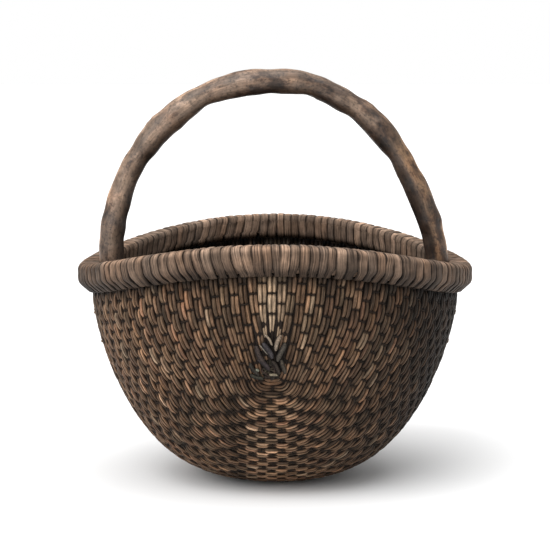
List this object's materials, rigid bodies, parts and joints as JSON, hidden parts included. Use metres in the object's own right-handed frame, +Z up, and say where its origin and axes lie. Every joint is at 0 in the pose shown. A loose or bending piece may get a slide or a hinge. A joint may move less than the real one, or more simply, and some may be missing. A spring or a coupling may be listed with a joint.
{
  "type": "gathering basket",
  "caption": "Deep round-bottomed woven willow basket with a bound rim and a fixed bow handle made from one bent branch, for gathering and carrying.",
  "frame": {"origin": "under the centre of the basket, on the surface it stands on", "axes": "+Z up, X along the handle's span, +Y from the front of the basket to its back"},
  "size_m": [0.4304, 0.4124, 0.4483],
  "materials": {
    "willow_weave": "aged peeled willow rods, brown, satin, darker in the gaps",
    "split_willow_binding": "split willow, grey-tan, fibrous, matt",
    "rim_core_wood": "aged bent wood, matt",
    "handle_wood": "worn bark-less branch, tan-brown with dark patches, satin",
    "hemp_cord": "twisted hemp cord, darkened with age"
  },
  "bodies": {
    "root": {"woven_bowl": "willow_weave", "rim_outer_hoop": "rim_core_wood", "rim_inner_splint": "rim_core_wood", "rim_filler_rod": "rim_core_wood", "rim_binding_strip_01": "split_willow_binding", "rim_binding_strip_02": "split_willow_binding", "rim_binding_strip_03": "split_willow_binding", "rim_binding_strip_04": "split_willow_binding", "rim_binding_strip_05": "split_willow_binding", "rim_binding_strip_06": "split_willow_binding", "rim_binding_strip_07": "split_willow_binding", "rim_binding_strip_08": "split_willow_binding", "rim_binding_strip_09": "split_willow_binding", "rim_binding_strip_10": "split_willow_binding", "rim_binding_strip_11": "split_willow_binding", "rim_binding_strip_12": "split_willow_binding", "handle_branch": "handle_wood", "handle_peg_left": "handle_wood", "handle_peg_right": "handle_wood", "handle_lashing_left_upper": "hemp_cord", "handle_lashing_left_lower": "hemp_cord", "handle_lashing_right_upper": "hemp_cord", "handle_lashing_right_lower": "hemp_cord"}
  },
  "joints": []
}
